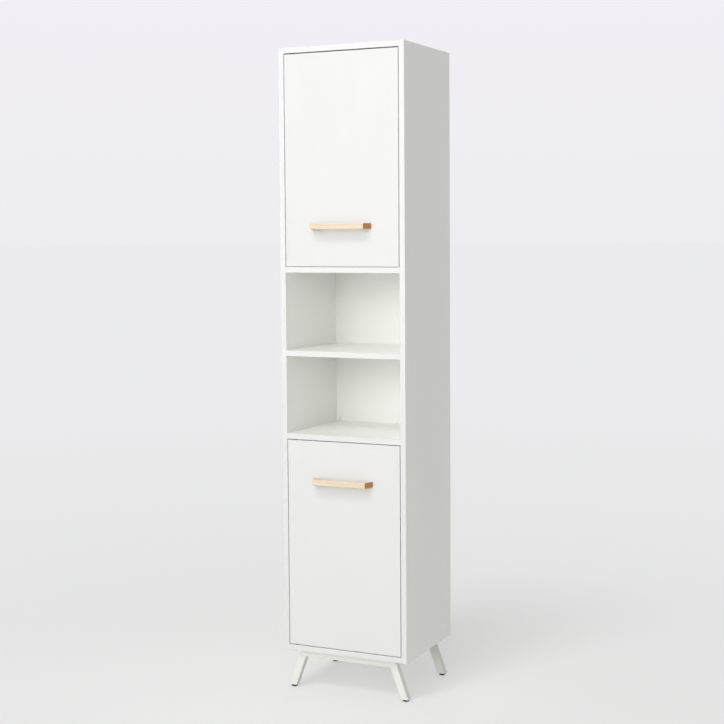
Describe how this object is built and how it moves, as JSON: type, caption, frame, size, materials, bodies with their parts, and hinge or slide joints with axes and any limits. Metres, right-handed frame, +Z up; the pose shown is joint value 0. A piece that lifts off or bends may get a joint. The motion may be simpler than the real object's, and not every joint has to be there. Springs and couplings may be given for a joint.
{
  "type": "tall bathroom cabinet",
  "caption": "Tall narrow white bathroom cabinet with hinged cupboard doors above and below open niches, wooden bridge handles and a splayed steel stand.",
  "frame": {"origin": "on the floor, under the centre of the whole box, handles included", "axes": "+X to the right along the front, +Y from front to back, +Z up"},
  "size_m": [0.36, 0.34, 1.715],
  "materials": {
    "white_board": "white melamine faced board, semi-matt, with edge banding",
    "white_back": "thin white lacquered hardboard",
    "white_steel": "white powder coat, satin",
    "beech": "pale beech, clear matt lacquer, fine grain along the handle",
    "black_nylon": "black nylon",
    "white_plastic": "white plastic",
    "zinc_steel": "bright zinc plate",
    "cast_zinc": "die-cast zinc, dull",
    "beech_dowel": "plain beech",
    "magnet_steel": "ferrite magnet between steel pole plates"
  },
  "bodies": {
    "cabinet": {"back_hole_rings": "white_plastic", "back_panel": "white_back", "bottom_panel": "white_board", "bracket_screws": "zinc_steel", "cam_bolts": "zinc_steel", "cam_locks": "cast_zinc", "catch_housings": "white_plastic", "catch_magnets": "magnet_steel", "catch_screws": "zinc_steel", "dowels": "beech_dowel", "front_left_glide": "black_nylon", "front_left_leg": "white_steel", "front_rail": "white_steel", "front_right_glide": "black_nylon", "front_right_leg": "white_steel", "hinge_bushes": "black_nylon", "left_side_panel": "white_board", "leg_plugs": "black_nylon", "lower_adjustable_shelf": "white_board", "lower_fixed_shelf": "white_board", "middle_shelf": "white_board", "rear_left_glide": "black_nylon", "rear_left_leg": "white_steel", "rear_rail": "white_steel", "rear_right_glide": "black_nylon", "rear_right_leg": "white_steel", "right_side_panel": "white_board", "shelf_pins": "zinc_steel", "stand_screws": "zinc_steel", "top_panel": "white_board", "upper_adjustable_shelf": "white_board", "upper_fixed_shelf": "white_board", "wall_bracket": "zinc_steel"},
    "upper_door": {"upper_door": "white_board", "upper_handle": "beech", "upper_handle_screws": "zinc_steel", "upper_hinge_pins": "zinc_steel", "upper_hinge_plates": "zinc_steel", "upper_hinge_screws": "zinc_steel", "upper_strike_plate": "zinc_steel", "upper_strike_screws": "zinc_steel"},
    "lower_door": {"lower_door": "white_board", "lower_handle": "beech", "lower_handle_screws": "zinc_steel", "lower_hinge_pins": "zinc_steel", "lower_hinge_plates": "zinc_steel", "lower_hinge_screws": "zinc_steel", "lower_strike_plate": "zinc_steel", "lower_strike_screws": "zinc_steel"}
  },
  "joints": [
    {"name": "upper_door_hinge", "type": "hinge", "parent": "cabinet", "child": "upper_door", "pos_m": [-0.143, -0.1325, 1.4197], "axis": [0, 0, -1], "range_deg": [0, 135]},
    {"name": "lower_door_hinge", "type": "hinge", "parent": "cabinet", "child": "lower_door", "pos_m": [-0.143, -0.1325, 0.4025], "axis": [0, 0, -1], "range_deg": [0, 135]}
  ]
}
